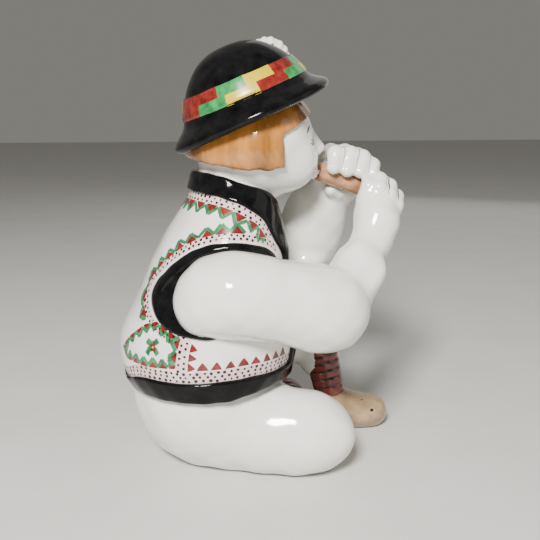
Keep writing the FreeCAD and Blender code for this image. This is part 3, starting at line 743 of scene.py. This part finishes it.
def dots(paint, guide, rows, pitch, u0=0.0, u1=None, size=0.5, lift=0.09):
    """Staggered rows of brush dots."""
    u1 = guide.total if u1 is None else u1
    for number, v in enumerate(rows):
        u = u0 + pitch * (0.3 + 0.5 * (number % 2))
        while u < u1 - 0.3:
            r = size * rng.uniform(0.75, 1.15)
            cu, cv = u + rng.uniform(-0.2, 0.2), v + rng.uniform(-0.15, 0.15)
            stretch = rng.uniform(0.85, 1.2)
            ring = [guide.at(cu + r * stretch * math.cos(a), cv + r * math.sin(a), lift)
                    for a in (2 * math.pi * k / 9 for k in range(9))]
            paint.fan(guide.at(cu, cv, lift + 0.05), ring)
            u += pitch * rng.uniform(0.9, 1.1)


def triangle(paint, guide, u, v, base, tall, lift=0.09):
    """A hand-brushed solid triangle standing on the line v."""
    tip = rng.uniform(-0.35, 0.35)
    base, tall = base * rng.uniform(0.88, 1.1), tall * rng.uniform(0.85, 1.12)
    bow = rng.uniform(0.0, 0.12)
    rows = []
    for i in range(7):
        t = i / 6
        half = base / 2 * ((1 - t) + bow * math.sin(math.pi * t)) + 0.12 * t
        rows.append([guide.at(u + tip * t + half * (j / 3 - 1), v + tall * t, lift) for j in range(7)])
    paint.patch(rows)


def stroke(paint, guide, path, width, lift=0.1, taper=False):
    """A brush stroke through (u, v) points of a guide."""
    fine = curve_through(path, 5)
    rows = []
    for i, p in enumerate(fine):
        q, r = fine[max(i - 1, 0)], fine[min(i + 1, len(fine) - 1)]
        along = np.array(r) - np.array(q)
        along /= np.hypot(*along) + 1e-9
        across = np.array((-along[1], along[0]))
        w = width / 2 * rng.uniform(0.9, 1.1)
        if taper:
            w *= max(0.15, math.sin(math.pi * (0.06 + 0.88 * i / (len(fine) - 1))))
        rows.append([guide.at(*(np.array(p) + across * w * (j - 1)), lift) for j in range(3)])
    paint.patch(rows)


def frieze(guide, u0, u1, base_v, pitch, base, tall):
    """Red triangles side by side, with a green zigzag brushed round their points."""
    count = max(1, round((u1 - u0) / pitch))
    step = (u1 - u0) / count
    path = []
    for i in range(count):
        u = u0 + step * (i + 0.5) + rng.uniform(-0.25, 0.25)
        triangle(RED_PAINT, guide, u, base_v, base, tall)
        path += [(u - step / 2, base_v + 0.55 + rng.uniform(-0.2, 0.25)),
                 (u, base_v + tall + 0.85 + rng.uniform(-0.2, 0.3))]
    path.append((u0 + step * count, base_v + 0.6))
    for a, b in zip(path, path[1:]):
        middle = ((a[0] + b[0]) / 2 + rng.uniform(-0.15, 0.15), (a[1] + b[1]) / 2)
        stroke(GREEN_PAINT, guide, [a, middle, b], rng.uniform(1.05, 1.35))


def round_vest(curve, start, end, side, count=60):
    """Points on the vest along a (degrees, height) curve, on the side given."""
    points = []
    for i in range(count + 1):
        turn = start + (end - start) * i / count
        points.append(on_torso(turn, float(np.interp(abs(turn), *curve)), side))
    return points


def round_armhole(start, end, side, count=50):
    """Points on the vest along the armhole's outline."""
    points = []
    for i in range(count + 1):
        turn = start + (end - start) * i / count
        reach = float(np.interp(turn, *ARMHOLE_OUT)) / 0.97
        x = ARMHOLE[0] + reach * math.cos(math.radians(turn))
        z = ARMHOLE[1] + reach * math.sin(math.radians(turn))
        centre, deep, wide = torso_section(z)
        points.append((x, side * wide * math.sqrt(max(0.05, 1 - ((x - centre) / deep) ** 2)), z))
    return points


RED_ENAMEL = material("red_enamel", (0.15, 0.010, 0.007), 0.22, 0.3, 0.55, 2.5)
GREEN_ENAMEL = material("green_enamel", (0.022, 0.15, 0.06), 0.22, 0.3, 0.55, 2.5)
DOT_ENAMEL = material("dot_enamel", (0.02, 0.006, 0.005), 0.22, 0.3, 0.5, 2)
PINK_GLAZE = material("pink_glaze", (0.66, 0.52, 0.51), 0.2, 0.4, 0.10, 3)
RED_PAINT = Paint("vest_red", RED_ENAMEL, "wrap_enamel")
GREEN_PAINT = Paint("vest_green", GREEN_ENAMEL, "band_enamel")
DOT_PAINT = Paint("vest_dots", DOT_ENAMEL, "black_glaze")
PINK_PAINT = Paint("vest_dot_ground", PINK_GLAZE, "white_glaze")


def up(_):
    return 0, 0, 1


def down(_):
    return 0, 0, -1


def forward(_):
    return 1, 0, 0


def off_armhole(p):
    return p[0] - ARMHOLE[0], 0, p[2] - ARMHOLE[1]


def towards(goal):
    """Leads across a closed line to the point it surrounds."""
    return lambda p: tuple(goal - Vector(p))


# below the collar, all the way round from one front edge to the other
neck_line = Guide(round_vest(NECK_LOW, 52, 180, -1) + round_vest(NECK_LOW, 180, 52, 1)[1:], down)
stripe(PINK_PAINT, neck_line, 0.0, 3.1)
dots(DOT_PAINT, neck_line, (0.75, 2.2), 2.15)
frieze(neck_line, 0.5, neck_line.total - 0.5, 2.9, 5.3, 4.6, 2.9)

# above the hem, from one front edge to the other
hem_line = Guide(round_vest(HEM_TOP, 34, 180, -1) + round_vest(HEM_TOP, 180, 34, 1)[1:], up)
stripe(PINK_PAINT, hem_line, 0.0, 3.9)
dots(DOT_PAINT, hem_line, (0.75, 2.05, 3.3), 2.2)

SEAM_TURN, SEAM_LOW, SEAM_TALL = 113.5, 41.0, 11.5
PANEL_TRIANGLES = 8
# corners of the back panel's frieze, as (degrees round from the front, height)
BACK_PANEL = [(116.5, 52.5), (116.5, 42.2), (135, 41.2), (158, 41.0), (166, 44), (157, 49.5), (147, 54.2),
              (138, 56.0), (126, 53.9), (116.5, 51.9)]

for side in (-1, 1):
    armhole_line = Guide(round_armhole(30, 226, side), off_armhole)
    stripe(PINK_PAINT, armhole_line, 0.0, 2.5)
    dots(DOT_PAINT, armhole_line, (0.7, 1.9), 2.0, size=0.46)
    frieze(armhole_line, 13.0, armhole_line.total * 0.80, 2.4, 4.8, 4.2, 2.5)

    # the side seam, and the open front panel with its triangles
    seam = Guide([on_torso(SEAM_TURN, SEAM_LOW + SEAM_TALL * i / 20, side) for i in range(21)], forward)
    stripe(PINK_PAINT, seam, -1.7, 1.9)
    dots(DOT_PAINT, seam, (-0.8, 0.9), 2.1)
    for u in (2.3, 5.6, 8.9):
        triangle(RED_PAINT, seam, u, 2.2, 3.0, 2.6)
    panel = Guide(round_vest(HEM_TOP, 104, 40, side), up)
    for i in range(PANEL_TRIANGLES):
        triangle(RED_PAINT, panel, panel.total * (i + 0.5) / PANEL_TRIANGLES, 4.3, 3.7, 2.8)

    # the back panel: a closed frieze round a rosette
    outline = [on_torso(t0 + (t1 - t0) * i / 6, z0 + (z1 - z0) * i / 6, side)
               for (t0, z0), (t1, z1) in zip(BACK_PANEL, BACK_PANEL[1:]) for i in range(6)]
    heart = on_vest((-44.0, side * 24.2, 48.0), 0)
    ring = Guide(outline, towards(heart))
    frieze(ring, 0.5, ring.total - 0.5, 0.1, 4.3, 3.9, 2.2)
    for turn in (45, 135, 225, 315):
        a = math.radians(turn + 8)
        arm = Vector((0.72 * math.cos(a), 0.69 * side * math.cos(a), math.sin(a))) * 4.2
        cross = Guide([heart, heart + arm], up)
        stroke(GREEN_PAINT, cross, [(0.5, 0), (1.4, 0.35), (2.4, 0.1), (3.3, 0)], 1.9)
    middle = Guide([heart + Vector((-2, 0, 0)), heart + Vector((2, 0, 0))], up)
    for k in range(5):
        u, v = 2 + math.cos(2 * math.pi * k / 5), math.sin(2 * math.pi * k / 5)
        petal = [middle.at(u + 0.6 * math.cos(b), v + 0.6 * math.sin(b), 0.13)
                 for b in (2 * math.pi * j / 8 for j in range(8))]
        RED_PAINT.fan(middle.at(u, v, 0.15), petal)

for paint in (PINK_PAINT, RED_PAINT, GREEN_PAINT, DOT_PAINT):
    paint.build()

# blocks of colour on the hat's band
BAND_SKIN = Skin(pieces["hat_band"])


def on_band(turn, height, lift=0.08):
    """The band's surface that many degrees round from the front, at a height above the rim."""
    radii, heights = zip(*BAND_FACE)
    radius = float(np.interp(height, heights, radii)) + lift * 1.3
    a = math.radians(turn)
    forward = Vector((math.cos(lean), 0, -math.sin(lean)))
    spoke = (forward * math.cos(a) + Vector((0, 1, 0)) * math.sin(a)) * radius
    return BAND_SKIN(Vector(HAT_BASE) + spoke + Vector(HAT_AXIS) * height, lift)


BAND_GREEN = material("band_green", (0.02, 0.20, 0.05), 0.2, 0.3, 0.5, 3)
BAND_YELLOW = material("band_yellow", (0.50, 0.37, 0.0), 0.25, 0.0, 0.12, 3)
BAND_PAINTS = [Paint("band_red", RED_ENAMEL, "band_enamel"), Paint("band_green", BAND_GREEN, "band_enamel"),
               Paint("band_yellow", BAND_YELLOW, "band_enamel")]
BAND_BLOCKS = 13
# two staggered rows: lower edge, upper edge, and where the first block starts
for low_edge, high_edge, start in ((10.6, 14.0, -150.5), (7.35, 10.7, -169.5)):
    turn = start
    for number in range(BAND_BLOCKS):
        width = (start + 360 * (number + 1) / BAND_BLOCKS + rng.uniform(-1.5, 1.5)) - turn
        rows = []
        wobble = [rng.uniform(-0.12, 0.12) for _ in range(4)]
        for i in range(9):
            t = i / 8
            a = turn - 0.15 + (width + 0.3) * t
            lo = low_edge + wobble[0] * math.sin(3 * t) + wobble[1] * t
            hi = high_edge + wobble[2] * math.sin(4 * t) + wobble[3] * t
            rows.append([on_band(a + wobble[j % 4] * 1.5, lo + (hi - lo) * j / 5) for j in range(6)])
        BAND_PAINTS[number % len(BAND_PAINTS)].patch(rows)
        turn += width
for paint in BAND_PAINTS:
    paint.build()

# the face, painted alike on both sides: brow, closed lashes, mouth, and grey painted shade in the folds
on_face = Skin(pieces["head"])
LINE_ENAMEL = material("line_enamel", (0.06, 0.035, 0.03), 0.22, 0.3, 0.5, 2)
# a grey that stands in for the shade in the creases of the face and fingers: painted shade
CREASE_SHADE_MATERIAL = material("painted_crease_shade", (0.36, 0.345, 0.33), 0.2, 0.4, 0.25, 3)
BROWN = Paint("face_lines_and_finger_shade", LINE_ENAMEL, "black_glaze")
LIPS = Paint("lips_red", RED_ENAMEL, "wrap_enamel")
SHADE_STROKES = Paint("painted_shade_strokes", CREASE_SHADE_MATERIAL, "white_glaze")


def line_on(paint, skin, points, width, lift=0.08):
    """A tapered brush line through layout points laid on a skin."""
    guide = Guide(curve_through(points, 5), up, skin)
    path = [(guide.total * t, 0) for t in (0.01, 0.25, 0.5, 0.75, 0.99)]
    stroke(paint, guide, path, width, lift, taper=True)


# points of each line on the left side of the face, and its width: brow, lid and two lashes
EYE_LINES = [([(8.6, 13.4, 115.2), (10.6, 12.4, 116.9), (12.8, 11, 118.4)], 0.9),
             ([(10.2, 12, 110.6), (11.4, 11.4, 112.2), (12.8, 10, 114.0)], 1.0),
             ([(10.8, 11.8, 111.2), (9.4, 12.8, 111.6)], 0.32),
             ([(11.6, 11.2, 112.4), (10.2, 12.4, 113.0)], 0.32)]
# painted shade: grey strokes in the folds beside the nose and under the mouth
FOLD_SHADE = [([(15.0, 4.4, 108.8), (14.6, 6.2, 106.4), (14.4, 6.4, 103.6)], 0.5),
              ([(14.4, 5.2, 100.6), (13.2, 6.6, 98.6), (11.2, 8.0, 97.4)], 0.6)]
LIP_LINES = [([(17.0, -4.2, 102.6), (18.0, -1.6, 103.9), (18.0, 1.6, 103.9), (17.0, 4.2, 102.6)], 1.7),
             ([(17.0, -4.0, 100.6), (17.8, -1.5, 99.4), (17.8, 1.5, 99.4), (17.0, 4.0, 100.6)], 1.6)]
for side in (-1, 1):
    for paint, lines in ((BROWN, EYE_LINES), (SHADE_STROKES, FOLD_SHADE)):
        for points, width in lines:
            line_on(paint, on_face, [(x, y * side, z) for x, y, z in points], width)
for points, width in LIP_LINES:
    line_on(LIPS, on_face, points, width)

# painted shade in the creases between the fingers: grey on the left hand, dark brown on the right
on_left, on_right = Skin(pieces["left_hand"]), Skin(pieces["right_hand"])


def from_pipe(q):
    """The layout point at these coordinates of the pipe's frame."""
    return tuple(MOUTH + ALONG * q[0] + np.array((0, q[1], 0)) + ABOVE * q[2])


for (a, top, tip, _), (b, *_) in zip(LEFT_FINGERS, LEFT_FINGERS[1:]):
    middle = (a + b) / 2
    line_on(SHADE_STROKES, on_left, [from_pipe((middle, 2, top + 2)), from_pipe((middle, -4, top + 1.2)),
                            from_pipe((middle, -7, tip + 0.5))], 0.5, 0.05)
# the right hand's finger creases take the brown line enamel as painted shade
for (a, top, _), (b, *_) in zip(RIGHT_FINGERS, RIGHT_FINGERS[1:]):
    middle = (a + b) / 2 + 0.3
    line_on(BROWN, on_right, [from_pipe((middle, -6, top + 1.2)), from_pipe((middle + 0.3, -10, top - 2)),
                              from_pipe((middle + 0.6, -12, top - 5.4))], 0.55, 0.05)

# black cords wound round the leggings, the shoes' painted holes, and painted shade under the plume
CORD_AND_SHADE_ENAMEL = material("cord_and_shade_enamel", (0.010, 0.008, 0.008), 0.2, 0.3, 0.5, 2)
CORDS_AND_SHADE = Paint("legging_cords_and_plume_shade", CORD_AND_SHADE_ENAMEL, "black_glaze")


def wound(skin, start, end, radius, count, width):
    """Rings of paint round a limb from one point to another."""
    start, end = Vector(start), Vector(end)
    axis = (end - start).normalized()
    side = axis.orthogonal().normalized()
    for i in range(count):
        middle = start.lerp(end, (i + 0.5) / count)
        slant = rng.uniform(-0.25, 0.25)
        loop = [middle + axis * slant * math.cos(a)
                + (side * math.cos(a) + axis.cross(side) * math.sin(a)) * radius
                for a in (2 * math.pi * k / 28 for k in range(29))]
        guide = Guide(loop, lambda p: tuple(axis), skin)
        rows = []
        for k in range(60):
            u = guide.total * k / 59
            w = width * (0.5 + 0.12 * math.sin(k * 0.7 + i))
            rows.append([guide.at(u, v * w, 0.07) for v in (-1, 0, 1)])
        CORDS_AND_SHADE.patch(rows)


wound(Skin(pieces["left_leg_wrap"]), (22.9, 12.2, 30.6), (26.0, 9.8, 16.0), 6.6, 5, 0.75)
wound(Skin(pieces["right_leg_wrap"]), (13.3, 18.4, 6.8), (12.2, 24.4, 7.2), 7.3, 3, 0.75)
on_shoes = Skin(pieces["left_shoe"], pieces["right_shoe"])
# middle and radius of each painted hole
for spot, size in (((40.6, 1.0, 8.2), 0.75), ((37.5, 2.4, 12.4), 0.35), ((41, 11.5, 9), 0.7),
                   ((0, 44, 9), 0.7), ((5.5, 41, 10.5), 0.4)):
    here = Guide([Vector(spot) + Vector((-2, 0, 0)), Vector(spot) + Vector((2, 0, 0))], up, on_shoes)
    CORDS_AND_SHADE.fan(here.at(here.total / 2, 0, 0.12),
              [here.at(here.total / 2 + size * math.cos(a), size * 0.8 * math.sin(a), 0.08)
               for a in (2 * math.pi * k / 10 for k in range(10))])
# painted shade: dark strokes on the plume's underside, on the side towards the crown, where shade falls
on_plume = Skin(pieces["hat_plume"])
for points in ([(-1.5, 6, 146.2), (2.5, 6, 145.6), (6.0, 6, 143.8), (8.4, 6, 140.5)],
               [(-1.0, 6, 143.8), (2.5, 6, 143.0), (6.0, 6, 141.2), (7.6, 6, 138.5)]):
    line_on(CORDS_AND_SHADE, on_plume, points, 3.4, 0.1)
for paint in (BROWN, LIPS, SHADE_STROKES, CORDS_AND_SHADE):
    paint.build()

# ------------------------------------------------------- floor, light, camera
floor_mesh = bpy.data.meshes.new("floor")
FLOOR_REACH = 4.0
corners = [(x * FLOOR_REACH, y * FLOOR_REACH, 0) for x, y in ((-1, -1), (1, -1), (1, 1), (-1, 1))]
floor_mesh.from_pydata(corners, [], [(0, 1, 2, 3)])
floor = bpy.data.objects.new("floor", floor_mesh)
floor.location.z = CAD_BOX[0][2]
bpy.context.scene.collection.objects.link(floor)
floor_mat = material("floor_paper", (0.60, 0.595, 0.58), 0.7, 0.0, 0.03, 40)
floor_mesh.materials.append(floor_mat)

world = bpy.data.worlds.new("studio")
world.use_nodes = True
backdrop = world.node_tree.nodes["Background"]
backdrop.inputs["Color"].default_value = (0.80, 0.78, 0.70, 1)
backdrop.inputs["Strength"].default_value = 0.27
bpy.context.scene.world = world


def area_light(name, place_m, aim, size, power, colour=(1, 0.97, 0.93)):
    """A square lamp, size in metres and power in watts, turned to its aim."""
    data = bpy.data.lights.new(name, "AREA")
    data.size, data.energy, data.color = size, power, colour
    lamp = bpy.data.objects.new(name, data)
    lamp.location = place_m
    lamp.rotation_euler = (Vector(aim) - Vector(place_m)).to_track_quat("-Z", "Y").to_euler()
    bpy.context.scene.collection.objects.link(lamp)


CENTRE = place((0, 0, 70))
area_light("key", (-0.22, -0.50, 0.46), CENTRE, 0.14, 11.8)
area_light("fill", (0.60, -0.30, 0.30), CENTRE, 0.60, 0.9)
area_light("back", (0.45, 0.60, 0.40), CENTRE, 0.70, 0.8)

# the camera stands a quarter of a metre off, a little behind the right shoulder
AZIMUTH, ELEVATION, DISTANCE = math.radians(-12), math.radians(12), 254.0
AIM = Vector((0, 0, 66.5))
level = math.cos(ELEVATION)
back = Vector((math.sin(AZIMUTH) * level, -math.cos(AZIMUTH) * level, math.sin(ELEVATION)))
camera_data = bpy.data.cameras.new("camera")
camera_data.sensor_width = 36.0
camera_data.lens = 46.67
camera_data.clip_start = 0.01
camera = bpy.data.objects.new("camera", camera_data)
camera.location = place(AIM + back * DISTANCE)
camera.rotation_euler = (-back).to_track_quat("-Z", "Y").to_euler()
bpy.context.scene.collection.objects.link(camera)
bpy.context.scene.camera = camera
